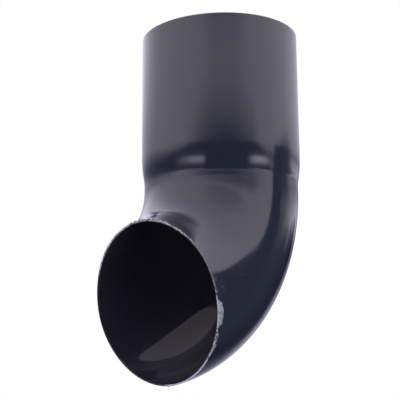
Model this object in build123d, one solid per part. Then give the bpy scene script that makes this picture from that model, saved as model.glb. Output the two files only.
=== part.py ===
import os
from math import atan2, cos, degrees, sin

from build123d import *

# Downpipe shoe: the bent outlet at the foot of a round steel rainwater pipe.
# One tube, 87 mm across, expanded at the top into a socket for the pipe and bent forwards below it.
# Millimetres, +Z up. The origin is on the socket's axis where the pipe's end stops, at the top of
# the shoulder. The water leaves towards -Y.

pipe_diameter = 87.0        # outside of the downpipe, and of the bend that carries its line on
wall = 0.8                  # steel sheet with its coating
pipe_clearance = 0.7        # room all round the pipe in the socket
socket_length = 71.0        # straight part that the pipe goes into
shoulder_length = 16.0      # height over which the socket narrows to the bend's tube
shoulder_foot_radius = 5.0  # crease at the foot of the shoulder, on the outside
neck_length = 3.0           # straight tube between the shoulder and the bend
bend_radius = 68.0          # of the bend's centre line
bend_angle = 77.0           # from straight down towards the outlet
outlet_length = 1.0         # straight tube past the bend, up to the saw cut

tube_radius = pipe_diameter / 2
socket_radius = tube_radius + pipe_clearance + wall
shoulder_foot = -shoulder_length
bend_start = shoulder_foot - neck_length

# The shoulder is two tangent arcs: a long one that rolls inwards and a tight one that ends upright.
shoulder_slope = 2 * atan2(socket_radius - tube_radius, shoulder_length)
shoulder_arcs = shoulder_length / sin(shoulder_slope)
shoulder_roll_radius = shoulder_arcs - shoulder_foot_radius


def wall_line(depth):
    """Points of the upright wall's line at a depth below the outer face, from the top down."""
    roll = shoulder_roll_radius - depth
    roll_centre = socket_radius - shoulder_roll_radius
    foot = shoulder_foot_radius + depth
    foot_centre = tube_radius + shoulder_foot_radius

    def on_roll(angle):
        return roll_centre + roll * cos(angle), -roll * sin(angle)

    def on_foot(angle):
        return foot_centre - foot * cos(angle), shoulder_foot + foot * sin(angle)

    return {
        "top": (socket_radius - depth, socket_length),
        "stop": on_roll(0),
        "mid_roll": on_roll(shoulder_slope / 2),
        "turn": on_roll(shoulder_slope),
        "mid_foot": on_foot(shoulder_slope / 2),
        "foot": on_foot(0),
        "bottom": (tube_radius - depth, bend_start),
    }


def wall_edges(points):
    """Socket, shoulder and neck along one face of the wall, in the plane of the axis."""
    return [
        Line(points["top"], points["stop"]),
        ThreePointArc(points["stop"], points["mid_roll"], points["turn"]),
        ThreePointArc(points["turn"], points["mid_foot"], points["foot"]),
        Line(points["foot"], points["bottom"]),
    ]


def make_upright():
    """Socket, shoulder and neck, turned about the pipe's axis."""
    outer = wall_line(0)
    inner = wall_line(wall)
    with BuildPart() as upright:
        with BuildSketch(Plane.XZ):
            with BuildLine():
                for edge in wall_edges(outer) + wall_edges(inner):
                    add(edge)
                Line(outer["top"], inner["top"])
                Line(outer["bottom"], inner["bottom"])
            make_face()
        revolve(axis=Axis.Z)
    return upright.part


def make_bend():
    """The tube's ring carried round the bend, then straight on to the saw cut."""
    bend_axis = Axis((0, -bend_radius, bend_start), (1, 0, 0))
    with BuildPart() as bend:
        with BuildSketch(Plane.XY.offset(bend_start)):
            Circle(tube_radius)
            Circle(tube_radius - wall, mode=Mode.SUBTRACT)
        revolve(axis=bend_axis, revolution_arc=-bend_angle)
        saw_cut = bend.faces().filter_by(GeomType.PLANE).sort_by(Axis.Z)[0]
        extrude(saw_cut, amount=outlet_length)
    return bend.part


shoe = make_upright() + make_bend()
shoe.label = "downpipe_shoe"

os.makedirs("parts", exist_ok=True)
export_step(shoe, "parts/downpipe_shoe.step")

box = shoe.bounding_box()
print("size", box.size, "lowest", round(box.min.Z, 2), "foremost", round(box.min.Y, 2))
print("solids", len(shoe.solids()), "faces", len(shoe.faces()), "volume", round(shoe.volume, 1))
print("socket", 2 * socket_radius, "outside, bore", 2 * (socket_radius - wall))
print("shoulder slope", round(degrees(shoulder_slope), 2), "roll radius", round(shoulder_roll_radius, 2))
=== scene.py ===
from math import atan2, cos, pi, radians, sin

import bpy
from mathutils import Matrix, Vector


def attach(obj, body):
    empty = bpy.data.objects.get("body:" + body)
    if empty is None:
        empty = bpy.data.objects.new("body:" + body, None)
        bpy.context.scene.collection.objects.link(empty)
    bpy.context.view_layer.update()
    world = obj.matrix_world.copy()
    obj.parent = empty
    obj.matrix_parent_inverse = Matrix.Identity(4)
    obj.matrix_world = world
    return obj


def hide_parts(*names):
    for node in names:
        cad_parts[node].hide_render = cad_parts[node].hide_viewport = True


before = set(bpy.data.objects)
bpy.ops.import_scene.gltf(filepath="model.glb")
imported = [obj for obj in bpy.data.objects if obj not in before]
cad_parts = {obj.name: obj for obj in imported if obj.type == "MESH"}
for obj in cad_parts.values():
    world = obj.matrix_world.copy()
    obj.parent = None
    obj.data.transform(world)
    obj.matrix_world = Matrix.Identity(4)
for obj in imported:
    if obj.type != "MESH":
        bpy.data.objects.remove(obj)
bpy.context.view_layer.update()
print("frame loaded")

# Downpipe shoe, in metres. The origin is on the socket's axis, at the top of the shoulder.
# Places on the tube are given as on the straight tube before it is bent: "along" is the height
# and "around" the angle from +X, so the mouth's top is at 270 degrees and its right side at 0.
# An arc on it is three angles in degrees: its middle, and how far to either side it ends and is full.
millimetre = 0.001


class Wire:      # a node's output that Python's own signs work on
    def __init__(self, graph, socket):
        self.graph = graph
        self.socket = socket

    def other(self, name):                 # another output of the same node
        return Wire(self.graph, pick(self.socket.node.outputs, name))

    def __add__(self, value):
        return self.graph.maths("ADD", self, value)

    def __radd__(self, value):
        return self.graph.maths("ADD", value, self)

    def __sub__(self, value):
        return self.graph.maths("SUBTRACT", self, value)

    def __rsub__(self, value):
        return self.graph.maths("SUBTRACT", value, self)

    def __mul__(self, value):
        return self.graph.maths("MULTIPLY", self, value)

    def __rmul__(self, value):
        return self.graph.maths("MULTIPLY", value, self)

    def __truediv__(self, value):
        return self.graph.maths("DIVIDE", self, value)

    def __mod__(self, value):
        return self.graph.maths("MODULO", self, value)

    def __lt__(self, value):
        return self.graph.maths("LESS_THAN", self, value)

    def __gt__(self, value):
        return self.graph.maths("GREATER_THAN", self, value)

    def __abs__(self):
        return self.graph.maths("ABSOLUTE", self)


def pick(sockets, name):
    if isinstance(name, int):
        return sockets[name]
    return next(socket for socket in sockets if socket.name == name and not socket.is_unavailable)


class Graph:     # a node tree, filled through add
    def __init__(self, tree):
        self.tree = tree
        self.tree.nodes.clear()

    def add(self, kind, settings={}, sockets={}, output=0):
        node = self.tree.nodes.new(kind)
        for name, value in settings.items():
            setattr(node, name, value)
        for name, value in sockets.items():
            socket = pick(node.inputs, name)
            if isinstance(value, Wire):
                self.tree.links.new(value.socket, socket)
            else:
                socket.default_value = value
        if len(node.outputs):
            return Wire(self, pick(node.outputs, output))

    def maths(self, operation, first, second=0.0):
        return self.add("ShaderNodeMath", {"operation": operation}, {0: first, 1: second})

    def vector(self, x, y, z):
        return self.add("ShaderNodeCombineXYZ", {}, {"X": x, "Y": y, "Z": z})

    def noise(self, place, scale, detail):
        return self.add("ShaderNodeTexNoise", {}, {"Vector": place, "Scale": scale, "Detail": detail})

    def blend(self, factor, first, second):
        return self.add("ShaderNodeMix", {"data_type": "RGBA"},
                        {"Factor": factor, "A": first, "B": second}, "Result")

    def step(self, value, low, high, bottom=0.0, top=1.0):
        return self.add("ShaderNodeMapRange", {"interpolation_type": "SMOOTHSTEP"},
                        {"Value": value, "From Min": low, "From Max": high, "To Min": bottom, "To Max": top})

    def bump(self, value, centre, width):        # 1 at the centre, falling softly to 0 at the width
        return self.step(abs(value - centre), width, 0.0)

    def span(self, value, begins, full, fullTo, ends):     # 1 between two values, falling softly outside
        return self.step(value, begins, full) * self.step(value, ends, fullTo)

    def towards(self, across, back, middle, ends, full):   # 1 within an arc round the tube, 0 outside
        closeness = across * cos(radians(middle)) + back * sin(radians(middle))
        return self.step(closeness, cos(radians(ends)), cos(radians(full)))


def newMaterial(name):
    material = bpy.data.materials.new(name)
    material.use_nodes = True
    return material, Graph(material.node_tree)


# The tube's shape, and how it departs from true.
shoe = {
    "tubeRadius": 43.5 * millimetre,
    "wall": 0.8 * millimetre,
    "socketRadius": 45.0 * millimetre,
    "socketLength": 71.0 * millimetre,
    "shoulderLength": 16.0 * millimetre,
    "neckLength": 3.0 * millimetre,
    "bendRadius": 68.0 * millimetre,
    "bendAngle": radians(77.0),
    "outletLength": 1.0 * millimetre,
    "rimRounding": 0.2 * millimetre,
    # The crease at the shoulder's foot.
    "creaseReach": 0.33 * millimetre,      # half the length that its turn takes
    "softReach": 2.6 * millimetre,         # added to it at the sides, where the turn is softer
    "softArcs": ((200, 86, 68, 1.0), (40, 46, 18, 0.5)),      # and how much of it each arc gets
    "creaseLift": 1.4 * millimetre,        # how much higher it is at the left than on the plan
    "liftArcs": ((200, 98, 74, 0.7), (22, 66, 22, 0.3)),
    "liftEverywhere": 0.3,
    "liftFade": 20.0 * millimetre,
    "grooveDepth": 0.155 * millimetre,     # the faint groove it leaves on the front
    "grooveAbove": 16.0 * millimetre,
    "grooveBelow": 10.0 * millimetre,
    "grooveArc": (310, 40.5, 21.6),
    # What pressing and cutting did to the true shape.
    "leanRight": 0.0093,                   # slope of the top cut towards +X
    "leanBack": 0.0124,                    # and towards +Y
    "leanFrom": 20.0 * millimetre,         # above this the socket leans with it
    "waviness": 0.04 * millimetre,
    "waveScale": 26.0,
    "ridges": 0.18 * millimetre,           # fine ridges down its right side
    "ridgeScale": 230.0,
    "ridgeStretch": 0.12,                  # how fast they change along the tube, beside round it
    "ridgeArc": (16, 36, 14),
    "ridgeSpan": (-85 * millimetre, -45 * millimetre, 0.0, 14 * millimetre),       # up from the crease
    # Shallow dents, one at the mouth and one under the crease: arc, depth, and how far up from the
    # cut it begins, is full, is still full and ends.
    "dents": (((252, 88, 46), 0.8 * millimetre, (-2.0, -1.0, 0.0, 24.0)),
              ((311, 58, 2), 0.66 * millimetre, (2.0, 46.0, 52.0, 92.0))),
    # How finely the wall is divided.
    "segments": 200,
    "socketRows": 30,
    "shoulderRows": 44,                    # and as many again below the crease
    "fineLength": 14.0 * millimetre,       # which is how far those reach
    "crowding": 1.5,                       # how much the rows crowd towards the crease
    "rowStep": 1.2 * millimetre,
    "rimPoints": 5,
}
bendStart = -shoe["shoulderLength"] - shoe["neckLength"]
bendEnd = bendStart - shoe["bendRadius"] * shoe["bendAngle"]
mouthEnd = bendEnd - shoe["outletLength"]
creaseAngle = 2 * atan2(shoe["socketRadius"] - shoe["tubeRadius"], shoe["shoulderLength"])
mergeDistance = 0.001 * millimetre


# The wall's line from under the top rim to the mouth, on the straight tube: radius and height.
def wallLine(inset):
    roll = shoe["shoulderLength"] / sin(creaseAngle)
    top = shoe["socketLength"] - shoe["rimRounding"]
    points = []
    rows = shoe["socketRows"]
    for i in range(rows):
        points.append((shoe["socketRadius"] - inset, top * (1 - i / rows)))
    rows = shoe["shoulderRows"]
    for i in range(rows):
        turn = creaseAngle * (1 - (1 - i / rows) ** shoe["crowding"])
        points.append((shoe["socketRadius"] - roll + (roll - inset) * cos(turn), -(roll - inset) * sin(turn)))
    start = -shoe["shoulderLength"]
    for i in range(rows):
        drop = shoe["fineLength"] * (i / rows) ** shoe["crowding"]
        points.append((shoe["tubeRadius"] - inset, start - drop))
    start = start - shoe["fineLength"]
    low = mouthEnd + shoe["rimRounding"]
    rows = round((start - low) / shoe["rowStep"])
    for i in range(rows + 1):
        points.append((shoe["tubeRadius"] - inset, start + (low - start) * i / rows))
    return points


def rimArc(outer, inner, height, way):     # the two rounded corners of a rim, from outer to inner
    rounding = shoe["rimRounding"]
    count = shoe["rimPoints"]
    points = []
    for centre, first in ((outer - rounding, 0.0), (inner + rounding, pi / 2)):
        for i in range(1, count + 1):
            turn = first + pi / 2 * i / (count + 1)
            points.append((centre + rounding * cos(turn), height - way * rounding * (1 - sin(turn))))
    return points


def wallOutline():
    wall = shoe["wall"]
    outer = wallLine(0.0)
    inner = wallLine(wall)
    mouth = rimArc(shoe["tubeRadius"], shoe["tubeRadius"] - wall, mouthEnd, -1)
    top = rimArc(shoe["socketRadius"], shoe["socketRadius"] - wall, shoe["socketLength"], 1)
    points = outer + mouth + inner[::-1] + top[::-1]
    innerFlags = [0.0] * len(outer) + [0.5] * len(mouth) + [1.0] * len(inner) + [0.5] * len(top)
    mesh = bpy.data.meshes.new("shoeBody")
    mesh.from_pydata([(radius, 0.0, height) for radius, height in points], [], [])
    inside = mesh.attributes.new("inside", "FLOAT", "POINT")
    inside.data.foreach_set("value", innerFlags)
    return mesh


def treeWith(name, count, sizes):          # a geometry tree with a whole number and sizes as named inputs
    tree = bpy.data.node_groups.new(name, "GeometryNodeTree")
    inputs = {"Geometry": "NodeSocketGeometry", count: "NodeSocketInt"}
    inputs.update({size: "NodeSocketFloat" for size in sizes})
    inputs["Material"] = "NodeSocketMaterial"
    for label, kind in inputs.items():
        tree.interface.new_socket(label, in_out="INPUT", socket_type=kind)
    tree.interface.new_socket("Geometry", in_out="OUTPUT", socket_type="NodeSocketGeometry")
    return tree, Graph(tree)


def grown(piece, tree, values):            # the tree's result as a plain mesh
    modifier = piece.modifiers.new(tree.name, "NODES")
    modifier.node_group = tree
    for item in tree.interface.items_tree:
        if item.in_out == "INPUT" and item.name in values:
            modifier[item.identifier] = values[item.name]
    bpy.context.view_layer.update()
    seen = piece.evaluated_get(bpy.context.evaluated_depsgraph_get())
    mesh = bpy.data.meshes.new_from_object(seen)
    piece.modifiers.remove(modifier)
    piece.data = mesh
    return piece


# A grid's points in columns round the tube and rows along it. The last of each closes on the first.
def ring(graph, columns, rows):
    grid = graph.add("GeometryNodeMeshGrid", {}, {
        "Size X": 1.0, "Size Y": 1.0, "Vertices X": columns + 1, "Vertices Y": rows + 1}, "Mesh")
    index = graph.add("GeometryNodeInputIndex")
    stride = rows + 1
    row = (index % stride) % rows
    column = graph.maths("FLOOR", index / stride + 0.0001)      # so that a whole number isn't rounded down
    around = (column % columns) / columns * (2 * pi)
    return grid, row, graph.maths("COSINE", around), graph.maths("SINE", around)


def bentPlace(graph, start, straight, height):      # where a point of the straight tube goes in the bend
    bendRadius = start.other("Bend Radius")
    arc = bendRadius * start.other("Bend Angle")
    below = start.other("Bend Start") - height
    drop = graph.add("ShaderNodeClamp", {}, {"Value": below, "Min": 0.0, "Max": arc})
    lifted = graph.add("ShaderNodeVectorMath", {"operation": "ADD"}, {
        0: straight, 1: graph.vector(0.0, 0.0, drop)})
    pivot = graph.vector(0.0, 0 - bendRadius, start.other("Bend Start"))
    return graph.add("ShaderNodeVectorRotate", {"rotation_type": "X_AXIS"}, {
        "Vector": lifted, "Center": pivot, "Angle": 0 - drop / bendRadius})


def pressedIn(graph, across, back, fromCut):         # depth of the dents
    depth = 0.0
    for arc, deep, spans in shoe["dents"]:
        where = graph.span(fromCut, *[edge * millimetre for edge in spans])
        depth = graph.towards(across, back, *arc) * where * deep + depth
    return depth


# A straight tube spun from its wall's outline, pushed out of true a little, then bent.
def tubeTree():
    tree, graph = treeWith("tubeTree", "Segments", (
        "Bend Start", "Bend Radius", "Bend Angle", "Lean Right", "Lean Back", "Waviness", "Ridges", "Crease",
        "Crease Angle", "Crease Reach", "Soft Reach", "Crease Lift", "Groove Depth", "Cut"))
    start = graph.add("NodeGroupInput", output="Geometry")
    rows = graph.add("GeometryNodeAttributeDomainSize", {"component": "MESH"}, {
        "Geometry": start}, "Point Count")
    grid, row, across, back = ring(graph, start.other("Segments"), rows)
    place = graph.add("GeometryNodeSampleIndex", {"data_type": "FLOAT_VECTOR"}, {
        "Geometry": start, "Value": graph.add("GeometryNodeInputPosition"), "Index": row})
    radius = graph.add("ShaderNodeSeparateXYZ", {}, {"Vector": place}, "X")
    along = radius.other("Z")
    flags = graph.add("GeometryNodeInputNamedAttribute", {"data_type": "FLOAT"}, {
        "Name": "inside"}, "Attribute")
    inside = graph.add("GeometryNodeSampleIndex", {"data_type": "FLOAT"}, {
        "Geometry": start, "Index": row, "Value": flags})

    def towards(arc):
        return graph.towards(across, back, *arc)

    def onTube(width, height):
        return graph.vector(across * width, back * width, height)

    width = shoe["socketRadius"]           # the patterns' places are all at this radius
    ripple = graph.noise(onTube(width, along), shoe["waveScale"], 1.0) - 0.5
    radius = radius + ripple * start.other("Waviness")
    fromCrease = along - start.other("Crease")
    ridge = graph.noise(onTube(width, along * shoe["ridgeStretch"]), shoe["ridgeScale"], 1.0) - 0.5
    ridged = towards(shoe["ridgeArc"]) * graph.span(fromCrease, *shoe["ridgeSpan"])
    radius = radius + ridge * ridged * start.other("Ridges")

    # The crease is rounded off, more at the sides, and leaves a faint groove on the front.
    reach = start.other("Crease Reach")
    for *arc, share in shoe["softArcs"]:
        reach = reach + towards(arc) * share * start.other("Soft Reach")
    near = graph.maths("MAXIMUM", reach - abs(fromCrease))
    radius = radius + near * near / reach * start.other("Crease Angle") / 4
    above = graph.step(fromCrease, shoe["grooveAbove"], 0.0)
    below = graph.maths("MAXIMUM", 1 + fromCrease / shoe["grooveBelow"])
    isAbove = fromCrease > 0.0
    groove = above * isAbove + below * below * (1 - isAbove)
    radius = radius - groove * towards(shoe["grooveArc"]) * start.other("Groove Depth")
    radius = radius - pressedIn(graph, across, back, along - start.other("Cut"))

    lean = across * radius * start.other("Lean Right") + back * radius * start.other("Lean Back")
    lift = shoe["liftEverywhere"]
    for *arc, share in shoe["liftArcs"]:
        lift = lift + towards(arc) * share
    lift = lift * graph.bump(fromCrease, 0.0, shoe["liftFade"]) * start.other("Crease Lift")
    height = along + lift + lean * graph.step(along, shoe["leanFrom"], shoe["socketLength"])
    bent = bentPlace(graph, start, onTube(radius, height), height)

    mesh = grid
    kept = {"along": along, "across": across, "back": back, "inside": inside, "radius": radius}
    for name, value in kept.items():       # the materials read these
        mesh = graph.add("GeometryNodeStoreNamedAttribute", {"data_type": "FLOAT"}, {
            "Geometry": mesh, "Name": name, "Value": value})
    mesh = graph.add("GeometryNodeSetPosition", {}, {"Geometry": mesh, "Position": bent})
    mesh = graph.add("GeometryNodeMergeByDistance", {}, {"Geometry": mesh, "Distance": mergeDistance})
    mesh = graph.add("GeometryNodeFlipFaces", {}, {"Mesh": mesh})
    mesh = graph.add("GeometryNodeSetShadeSmooth", {}, {"Geometry": mesh})
    mesh = graph.add("GeometryNodeRealizeInstances", {}, {"Geometry": mesh})
    mesh = graph.add("GeometryNodeSetMaterial", {}, {"Geometry": mesh, "Material": start.other("Material")})
    graph.add("NodeGroupOutput", {}, {"Geometry": mesh})
    return tree


# The coating, outside and in, and the bare steel at the cut.
coat = {
    "outside": (0.0120, 0.0140, 0.0260, 1.0),
    "inside": (0.0400, 0.0375, 0.0520, 1.0),
    "insideSheen": (1.0, 0.84, 0.78, 1.0),
    "steelDark": (0.16, 0.16, 0.17, 1.0),
    "steelBright": (0.92, 0.92, 0.93, 1.0),
    "dust": (0.55, 0.55, 0.58, 1.0),
    "roughness": 0.16,
    "insideRoughness": 0.05,
    "clearRoughness": 0.03,
    "ior": 1.5,
    "insideIor": 1.36,
    "unevenness": 0.04 * millimetre,       # height of its waves
    "waveScale": 38.0,
    "peelScale": 260.0,                    # orange peel
    "rollScale": 620.0,                    # marks of the rolled sheet, along the tube
    "rollStretch": 0.1,
    "grimeScale": 70.0,
    "speckScale": 330.0,
    "speckSize": 0.06,
    "specksFrom": 0.62,                    # how rare they are, of 1
    # Bare steel at the saw cut. Each arc has how far the steel reaches up from the cut.
    "cutReach": 0.25 * millimetre,
    "flaked": (290, 45, 25),
    "flakedReach": 0.9 * millimetre,
    "smeared": (12, 10, 5),
    "smearedReach": 3.3 * millimetre,
    "chipped": (30, 13, 6),
    "chippedReach": 1.4 * millimetre,
    "coatedCut": (150, 62, 52),            # here the cut's face is coated
    "coatedHalf": (237, 34, 24),           # and here only its middle
    # here the cut's steel is coloured darker, and on the next arc lighter
    "darkenedCut": (336, 24, 14),
    "brightCut": (70, 26, 14),
    "flecked": (353, 9, 3),
    "fleckedReach": 8.0 * millimetre,
    "raggedScale": 900.0,
    "tornScale": 280.0,
    # The lining is painted darker at the mouth's lower lip, as painted shade.
    "shadedLip": (110, 60, 20),
    "shadedReach": 30.0 * millimetre,
}


def coatedSteel():
    material, graph = newMaterial("coatedSteel")
    place = graph.add("ShaderNodeTexCoord", output="Object")
    along, across, back, inside, radius = [
        graph.add("ShaderNodeAttribute", {"attribute_name": name}, output="Fac")
        for name in ("along", "across", "back", "inside", "radius")]

    def towards(arc):
        return graph.towards(across, back, *arc)

    # Bare steel at the saw cut: the face round the top and right, more where the coat flaked off.
    ragged = graph.noise(place, coat["raggedScale"], 3.0)
    torn = graph.noise(place, coat["tornScale"], 3.0)
    fromCut = along - mouthEnd
    smear = towards(coat["smeared"]) * (graph.step(torn, 0.20, 0.60) * 0.5 + 0.5)
    reach = coat["cutReach"] + towards(coat["flaked"]) * graph.step(ragged, 0.35, 0.62) * coat["flakedReach"]
    reach = reach + smear * coat["smearedReach"]
    reach = reach + towards(coat["chipped"]) * graph.step(torn, 0.40, 0.62) * coat["chippedReach"]
    middle = graph.bump(radius, shoe["tubeRadius"] - shoe["wall"] / 2, shoe["wall"] * 0.45)
    covered = towards(coat["coatedCut"]) + towards(coat["coatedHalf"]) * (middle > 0.25)
    bare = (fromCut < reach) * (1 - covered)
    fleck = graph.step(fromCut, coat["fleckedReach"], coat["fleckedReach"] / 2) * graph.step(torn, 0.46, 0.60)
    fleck = fleck * towards(coat["flecked"])
    # The steel's colour varies at random, is darker on one arc, and is lighter on another and where it is
    # smeared.
    shine = graph.step(ragged, 0.38, 0.60) * (1 - towards(coat["darkenedCut"]) * 0.7)
    shine = shine + smear * 0.6 + towards(coat["brightCut"])
    steel = graph.blend(shine, coat["steelDark"], coat["steelBright"])

    # The coating: dust specks, grime and small waves.
    cells = graph.add("ShaderNodeTexVoronoi", {}, {"Vector": place, "Scale": coat["speckScale"]}, "Distance")
    rare = graph.noise(place, 95.0, 1.0)
    speck = (cells < coat["speckSize"]) * (rare > coat["specksFrom"])
    colour = graph.blend(speck * 0.5, coat["outside"], coat["dust"])
    colour = graph.blend(fleck * 0.12, colour, coat["dust"])
    colour = graph.blend(bare, colour, steel)
    grime = graph.add("ShaderNodeTexNoise", {}, {
        "Vector": place, "Scale": coat["grimeScale"], "Detail": 6.0, "Roughness": 0.6})
    roughness = coat["roughness"] + (grime - 0.5) * 0.12 + bare * 0.25
    width = shoe["socketRadius"]
    marks = graph.vector(across * width, back * width, along * coat["rollStretch"])
    rolled = graph.noise(marks, coat["rollScale"], 3.0)
    peel = graph.noise(place, coat["peelScale"], 2.0)
    waves = graph.noise(place, coat["waveScale"], 2.0)
    height = waves + peel * 0.15 + rolled * 0.2 + bare * ragged * 6
    uneven = graph.add("ShaderNodeBump", {}, {
        "Height": height, "Strength": 1.0, "Distance": coat["unevenness"]})
    outer = graph.add("ShaderNodeBsdfPrincipled", {}, {
        "Base Color": colour, "Roughness": roughness, "Metallic": bare * 0.7, "IOR": coat["ior"],
        "Coat Weight": 1 - bare, "Coat Roughness": coat["clearRoughness"], "Coat IOR": coat["ior"],
        "Normal": uneven})

    # Painted shade: the lining's colour turns towards the dark outside colour near the lower lip.
    shaded = towards(coat["shadedLip"]) * graph.step(fromCut, coat["shadedReach"], 0.0)
    lining = graph.blend(shaded * 0.45, coat["inside"], coat["outside"])
    inner = graph.add("ShaderNodeBsdfPrincipled", {}, {
        "Base Color": lining, "Roughness": coat["insideRoughness"], "IOR": coat["insideIor"],
        "Specular Tint": coat["insideSheen"]})
    surface = graph.add("ShaderNodeMixShader", {}, {"Fac": inside > 0.75, 1: outer, 2: inner})
    graph.add("ShaderNodeOutputMaterial", {}, {"Surface": surface})
    return material


body = bpy.data.objects.new("shoeBody", wallOutline())
bpy.context.scene.collection.objects.link(body)
grown(body, tubeTree(), {
    "Segments": shoe["segments"], "Bend Start": bendStart, "Bend Radius": shoe["bendRadius"],
    "Bend Angle": shoe["bendAngle"], "Lean Right": shoe["leanRight"], "Lean Back": shoe["leanBack"],
    "Waviness": shoe["waviness"], "Ridges": shoe["ridges"], "Crease": -shoe["shoulderLength"],
    "Crease Angle": creaseAngle, "Crease Reach": shoe["creaseReach"], "Soft Reach": shoe["softReach"],
    "Crease Lift": shoe["creaseLift"], "Groove Depth": shoe["grooveDepth"], "Cut": mouthEnd,
    "Material": coatedSteel()})
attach(body, "root")
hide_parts("downpipe_shoe")
print("tube made:", len(body.data.polygons), "faces")


# The burr that the saw left.
burr = {
    "points": 900,
    "radius": shoe["tubeRadius"] - 0.1 * millimetre,
    "cut": mouthEnd + 0.05 * millimetre,
    "root": 0.35 * millimetre,             # how deep its root sits in the wall
    "height": 0.75 * millimetre,
    "depth": 0.5 * millimetre,
    "raggedness": 800.0,
    "bright": (0.95, 0.95, 0.96, 1.0),
    "dark": (0.12, 0.12, 0.13, 1.0),
    "roughness": 0.42,
    "metallic": 0.3,
    "stainScale": 1100.0,
}


# A closed strip round the mouth: a four-cornered section whose outer corner stands up raggedly.
def burrTree():
    tree, graph = treeWith("burrTree", "Points", (
        "Radius", "Root", "Height", "Depth", "Raggedness", "Cut", "Bend Start", "Bend Radius", "Bend Angle"))
    start = graph.add("NodeGroupInput", output="Geometry")
    grid, corner, across, back = ring(graph, start.other("Points"), 4)

    def towards(middle, ends, full):
        return graph.towards(across, back, middle, ends, full)

    scale = start.other("Raggedness") * start.other("Radius")
    jagged = graph.step(graph.noise(graph.vector(across, back, 0.0), scale, 2.0), 0.33, 0.66)
    stands = towards(288, 34, 22) * (0.25 + jagged * 0.95)      # tall over the throat
    stands = stands + towards(237, 30, 20) * jagged * 0.35      # low at the left
    stands = stands + towards(34, 2.0, 0.7) * 1.2               # one tooth at the lower right
    stands = stands + towards(87, 4.0, 1.5) * jagged * 0.7      # and a few at the bottom
    isCrest = graph.bump(corner, 1.0, 0.5)
    isInner = (corner < 0.5) + (corner > 2.5)
    isBack = corner > 1.5
    out = isCrest * stands * start.other("Height") - isInner * start.other("Root")
    up = isBack * start.other("Depth") - isCrest * stands * start.other("Height") * 0.3
    radius = start.other("Radius") + out - pressedIn(graph, across, back, up)
    height = start.other("Cut") + up
    straight = graph.vector(across * radius, back * radius, height)
    mesh = graph.add("GeometryNodeSetPosition", {}, {
        "Geometry": grid, "Position": bentPlace(graph, start, straight, height)})
    mesh = graph.add("GeometryNodeMergeByDistance", {}, {"Geometry": mesh, "Distance": mergeDistance})
    mesh = graph.add("GeometryNodeRealizeInstances", {}, {"Geometry": mesh})
    mesh = graph.add("GeometryNodeSetMaterial", {}, {"Geometry": mesh, "Material": start.other("Material")})
    graph.add("NodeGroupOutput", {}, {"Geometry": mesh})
    return tree


def bareSteel():
    material, graph = newMaterial("bareSteel")
    place = graph.add("ShaderNodeTexCoord", output="Object")
    stain = graph.noise(place, burr["stainScale"], 2.0)
    colour = graph.blend(graph.step(stain, 0.42, 0.52), burr["dark"], burr["bright"])
    surface = graph.add("ShaderNodeBsdfPrincipled", {}, {
        "Base Color": colour, "Roughness": burr["roughness"], "Metallic": burr["metallic"]})
    graph.add("ShaderNodeOutputMaterial", {}, {"Surface": surface})
    return material


strip = bpy.data.objects.new("cutBurr", bpy.data.meshes.new("cutBurr"))
bpy.context.scene.collection.objects.link(strip)
grown(strip, burrTree(), {
    "Points": burr["points"], "Radius": burr["radius"], "Root": burr["root"], "Height": burr["height"],
    "Depth": burr["depth"], "Raggedness": burr["raggedness"], "Cut": burr["cut"], "Bend Start": bendStart,
    "Bend Radius": shoe["bendRadius"], "Bend Angle": shoe["bendAngle"], "Material": bareSteel()})
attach(strip, "root")
print("burr made:", len(strip.data.polygons), "faces")


# The camera, the floor and the light.
studio = {
    "camera": Vector((0.3564, -0.4063, -0.1378)),
    "lens": 87.64,
    "look": radians(42.54),                # camera's heading, from +Y towards -X
    "pitch": radians(11.94),
    "roll": radians(-0.51),
    "towardsCamera": radians(-48.7),       # heading of the camera seen from the axis, from +X
    "floorDepth": -1.0,
    "floorRadius": 0.8,
    "floorColour": (0.85, 0.85, 0.86, 1.0),
    "shade": (0.120, 0.130, 0.190, 1.0),   # of what isn't lit, the tent's lower part and the card
}


def addCamera():
    lens = bpy.data.cameras.new("camera")
    lens.lens = studio["lens"]
    camera = bpy.data.objects.new("camera", lens)
    look, pitch, roll = studio["look"], studio["pitch"], studio["roll"]
    forward = Vector((-sin(look) * cos(pitch), cos(look) * cos(pitch), sin(pitch)))
    right = Vector((cos(look), sin(look), 0.0))
    up = right.cross(forward)
    across = right * cos(roll) + up * sin(roll)
    upright = up * cos(roll) - right * sin(roll)
    turn = Matrix((across, upright, -forward)).transposed().to_4x4()
    camera.matrix_world = Matrix.Translation(studio["camera"]) @ turn
    bpy.context.scene.collection.objects.link(camera)
    bpy.context.scene.camera = camera


tent = {
    "radius": 2.5,
    "centre": Vector((0.0, -0.02, -0.03)),
    "light": (1.10, 1.05, 1.22, 1.0),
    "lamp": (2.40, 2.45, 3.00, 1.0),
    "edge": 17.2,                          # height of its lower edge straight ahead
    # How much each part takes from the light.
    "gap": 0.45,
    "backRight": 0.53,
    "backLeft": 0.46,
    "top": 0.1,
    "leftSide": 0.12,
    "cornerShade": 0.7,
    "darkLine": 0.85,
    # How much each part adds to it.
    "rim": 0.12,
    "high": 0.16,
    "thread": 0.35,
    "behind": 0.3,
    "ahead": 0.15,
    "streak": 0.6,
    "beside": 0.5,
    "farLeft": 0.25,
    "below": 0.9,
    "leftLamp": 0.68,                      # beside the right one
}


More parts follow.
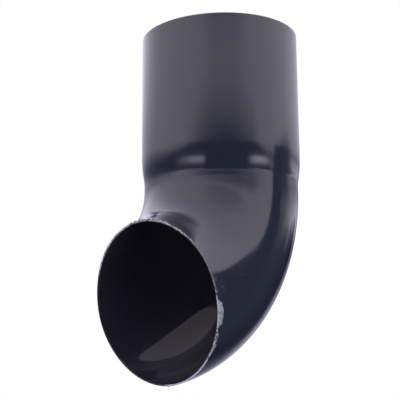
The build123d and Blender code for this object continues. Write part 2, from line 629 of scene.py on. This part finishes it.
# A light tent: bright down to a soft edge near the horizon, dimmer where the camera looks in, dark
# below, with two lamps showing near the horizon. Angles are in degrees: "turn" from the camera's
# side round to the right of the picture, "aside" to either side, and "rise" up from the horizon.
def tentLight():
    material, graph = newMaterial("tentLight")
    place = graph.add("ShaderNodeTexCoord", output="Object")
    way = graph.add("ShaderNodeVectorMath", {"operation": "NORMALIZE"}, {0: place})
    x = graph.add("ShaderNodeSeparateXYZ", {}, {"Vector": way}, "X")
    rise = graph.maths("ARCSINE", x.other("Z")) * (180 / pi)
    turn = graph.maths("ARCTAN2", x.other("Y"), x) * (180 / pi)
    aside = abs(turn)

    # The lower edge drops towards both sides and comes up again behind.
    farRight = graph.step(turn, 104.0, 116.0)
    edge = tent["edge"] + farRight * 0.6
    edge = edge - graph.step(turn, -10.0, -40.0, 0.0, 1.2) - graph.step(turn, -30.0, -66.0, 0.0, 5.7)
    edge = edge + graph.step(turn, -85.0, -120.0, 0.0, 2.3)
    edge = edge - graph.step(turn, 10.0, 40.0, 0.0, 0.8) - graph.step(turn, 44.0, 70.0, 0.0, 8.0)
    edge = edge + graph.step(turn, 76.0, 110.0, 0.0, 4.4)
    soft = graph.step(aside, 35.0, 75.0, 4.7, 7.5) * (1 - farRight * 0.35)
    level = graph.step((rise - edge) / soft, -1.0, 1.0)

    # The gap that the camera looks in through, wider at its foot.
    middle = graph.step(rise, 45.0, 25.0, 4.0, 8.0)
    reach = graph.step(rise, 45.0, 25.0, 38.0, 48.0)
    gap = graph.step(abs(turn - middle) / reach, 1.0, 0.28) * graph.step(rise, 66.0, 22.0)
    gap = gap * graph.step(rise, 20.5, 26.0, 0.66, 1.0)
    backRight = graph.step(turn, 78.0, 162.0) * graph.step(rise, 55.0, 25.0)
    backLeft = graph.step(turn, -70.0, -150.0) * graph.step(rise, 24.0, 14.0)
    top = graph.step(rise, 30.0, 60.0)
    rim = graph.bump(rise, 20.0, 6.0) * graph.span(aside, 25.0, 50.0, 80.0, 100.0)
    level = level * (1 - gap * tent["gap"]) * (1 - backRight * tent["backRight"])
    level = level * (1 - backLeft * tent["backLeft"]) * (1 - top * tent["top"]) + rim * tent["rim"]

    # A dark wedge under the gap, brighter cloth over the edge, and darker parts behind and at the left.
    wedge = graph.bump(turn, 6.0, 42.0) * graph.step(rise, 17.8, 15.8)
    high = graph.bump(rise, 22.0, 4.5) * graph.step(aside, 78.0, 58.0)
    hidden = graph.step(turn, -148.0, -162.0) + graph.step(turn, 122.0, 150.0)
    hidden = hidden * graph.span(rise, 30.0, 37.0, 62.0, 80.0)
    leftSide = graph.step(turn, -72.0, -98.0) * graph.span(rise, 14.0, 18.0, 30.0, 40.0)
    level = level * (1 - wedge) * (1 + high * tent["high"]) * (1 - hidden) * (1 - leftSide * tent["leftSide"])

    # What light comes in below the edge.
    thread = graph.bump(turn, 129.0, 6.0) * graph.span(rise, 1.0, 4.0, 7.0, 9.0)
    behind = graph.step(turn, 146.0, 164.0) * graph.bump(rise, -8.0, 17.0)
    ahead = graph.step(aside, 100.0, 60.0) * graph.step(rise, -10.0, -25.0)
    streak = graph.span(turn, 102.0, 124.0, 150.0, 166.0) * graph.bump(rise, 8.3, 4.6)
    beside = graph.bump(turn, 78.0, 10.0) * graph.bump(rise, 0.5, 6.0)
    farLeft = graph.step(turn, -95.0, -135.0) * graph.bump(rise, 0.0, 8.0)
    below = graph.step(aside, 110.0, 70.0) * graph.step(rise, -25.0, -45.0)
    level = level + thread * tent["thread"] + behind * tent["behind"] + ahead * tent["ahead"]
    level = level + streak * tent["streak"] + beside * tent["beside"]
    level = level + farLeft * tent["farLeft"] + below * tent["below"]
    colour = graph.blend(level, studio["shade"], tent["light"])

    left = graph.bump(rise + (turn + 45.0) * 0.04, -0.3, 4.1) * graph.span(turn, -72.0, -36.0, -27.0, -19.0)
    right = graph.bump(rise - (turn - 57.0) * 0.1, 0.8, 4.1) * graph.span(turn, 36.0, 52.0, 58.0, 80.0)
    colour = graph.blend(left * tent["leftLamp"] + right, colour, tent["lamp"])
    corner = graph.span(turn, 108.0, 142.0, 146.0, 160.0) * graph.step(rise, 8.0, 1.0)
    line = graph.bump(turn, 146.5, 5.5) * graph.span(rise, -9.0, 3.0, 7.4, 8.8)
    strength = (1 - corner * tent["cornerShade"]) * (1 - line * tent["darkLine"])
    lamp = graph.add("ShaderNodeEmission", {}, {"Color": colour, "Strength": strength})
    graph.add("ShaderNodeOutputMaterial", {}, {"Surface": lamp})
    return material


def addTent():
    bpy.ops.mesh.primitive_uv_sphere_add(segments=64, ring_count=32, radius=tent["radius"])
    sphere = bpy.context.object
    sphere.name = "lightTent"
    sphere.location = tent["centre"]
    sphere.rotation_euler.z = studio["towardsCamera"]
    sphere.data.materials.append(tentLight())
    sphere.visible_camera = False


# A grey card close to the right side, which draws the dark band down the heel.
card = {
    "corner": (0.076, 0.268),              # its left edge on the floor plan: towards the camera, to the right
    "turned": radians(200.3),              # way it runs from there
    "width": 0.185,
    "bottom": -0.35,
    "top": 0.066,
    "topFade": 0.018,
    "leftFade": 0.016,
    "torn": 0.04,                          # how ragged its top is
    "tornScale": 130.0,
    "stem": 0.085,                         # beyond this width only an arm of it goes on
    "stemFade": 0.012,
    "armBottom": 0.006,
    "armFoot": 0.014,                      # how high its lower edge fades in
    "armFade": 0.07,
}


def addCard():
    high, low = card["top"], card["bottom"]
    mesh = bpy.data.meshes.new("greyCard")
    corners = [(0.0, 0.0, low), (card["width"], 0.0, low), (card["width"], 0.0, high), (0.0, 0.0, high)]
    mesh.from_pydata(corners, [], [(0, 1, 2, 3)])
    sheet = bpy.data.objects.new("greyCard", mesh)
    bpy.context.scene.collection.objects.link(sheet)
    towards, right = card["corner"]
    heading = studio["towardsCamera"]
    sheet.location.x = towards * cos(heading) - right * sin(heading)
    sheet.location.y = towards * sin(heading) + right * cos(heading)
    sheet.rotation_euler.z = heading + card["turned"]
    material, graph = newMaterial("greyCard")
    place = graph.add("ShaderNodeTexCoord", output="Object")
    width = graph.add("ShaderNodeSeparateXYZ", {}, {"Vector": place}, "X")
    torn = graph.add("ShaderNodeTexNoise", {"noise_dimensions": "1D"}, {
        "W": width, "Scale": card["tornScale"], "Detail": 3.0})
    height = width.other("Z") + (torn - 0.5) * card["torn"]
    stem = graph.step(width, card["stem"] + card["stemFade"], card["stem"])
    arm = graph.step(height, card["armBottom"], card["armBottom"] + card["armFoot"])
    arm = arm * graph.step(width, card["width"], card["width"] - card["armFade"])
    grey = stem + (1 - stem) * arm
    grey = grey * graph.step(height, card["top"], card["top"] - card["topFade"])
    grey = grey * graph.step(width, 0.0, card["leftFade"])
    clear = graph.add("ShaderNodeBsdfTransparent")
    shade = graph.add("ShaderNodeEmission", {}, {"Color": studio["shade"]})
    surface = graph.add("ShaderNodeMixShader", {}, {"Fac": grey, 1: clear, 2: shade})
    graph.add("ShaderNodeOutputMaterial", {}, {"Surface": surface})
    mesh.materials.append(material)
    sheet.visible_camera = False


def addFloor():
    bpy.ops.mesh.primitive_circle_add(vertices=96, radius=studio["floorRadius"], fill_type="NGON",
                                      location=(0.0, 0.0, studio["floorDepth"]))
    floor = bpy.context.object
    floor.name = "floor"
    material, graph = newMaterial("paleFloor")
    surface = graph.add("ShaderNodeBsdfDiffuse", {}, {"Color": studio["floorColour"]})
    graph.add("ShaderNodeOutputMaterial", {}, {"Surface": surface})
    floor.data.materials.append(material)


# White behind the object, also where it is mirrored.
def addWorld():
    world = bpy.data.worlds.new("white")
    bpy.context.scene.world = world
    world.use_nodes = True
    graph = Graph(world.node_tree)
    path = graph.add("ShaderNodeLightPath", output="Is Camera Ray")
    seen = path + path.other("Is Glossy Ray") + path.other("Is Transmission Ray")
    light = graph.add("ShaderNodeBackground", {}, {"Color": (1.0, 1.0, 1.0, 1.0), "Strength": seen})
    graph.add("ShaderNodeOutputWorld", {}, {"Surface": light})


addCamera()
addTent()
addCard()
addFloor()
addWorld()
bpy.context.scene.view_settings.view_transform = "Standard"
print("studio ready")
